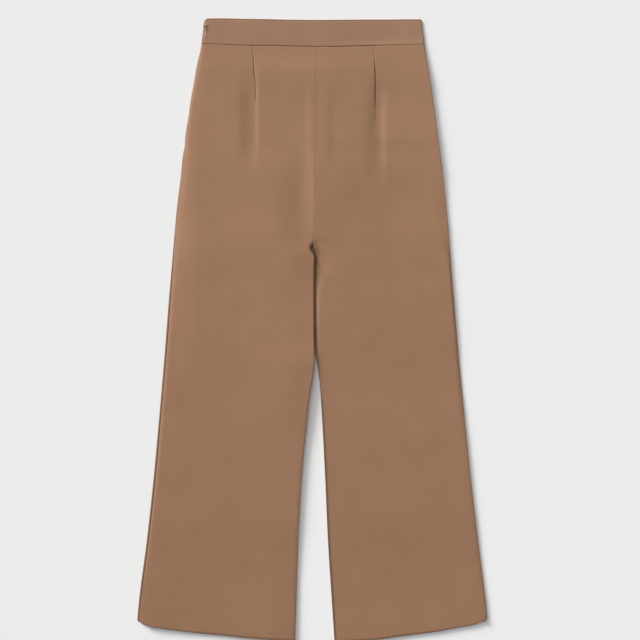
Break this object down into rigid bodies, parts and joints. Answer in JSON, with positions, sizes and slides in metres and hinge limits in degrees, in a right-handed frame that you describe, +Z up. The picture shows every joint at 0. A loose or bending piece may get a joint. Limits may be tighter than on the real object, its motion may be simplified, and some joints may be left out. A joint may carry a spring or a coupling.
{
  "type": "wide-leg trousers, laid flat",
  "caption": "High-waisted wide-leg trousers laid flat on their front, with a darted back, a plain waistband and a hidden side zip.",
  "frame": {"origin": "middle of the laid garment's outline, on the surface that it lies on", "axes": "+X towards the wearer's right, +Y towards the waist, +Z up out of the back of the garment"},
  "size_m": [0.5713, 1.0158, 0.009],
  "materials": {
    "crepe": "matte crepe, camel",
    "band_crepe": "matte crepe, interlined",
    "zip_tape": "woven tape",
    "enamelled_zinc": "satin enamel"
  },
  "bodies": {
    "garment": {"back_left_leg": "crepe", "back_right_leg": "crepe", "front_left_leg": "crepe", "front_right_leg": "crepe", "waistband": "band_crepe", "zip_tape": "zip_tape", "zip_slider": "enamelled_zinc"},
    "pull_tab": {"zip_pull": "enamelled_zinc"}
  },
  "joints": [
    {"name": "pull_tab_swing", "type": "hinge", "parent": "garment", "child": "pull_tab", "pos_m": [-0.1749, 0.4974, 0.00792], "axis": [-1, 0, 0], "range_deg": [0, 170]}
  ]
}
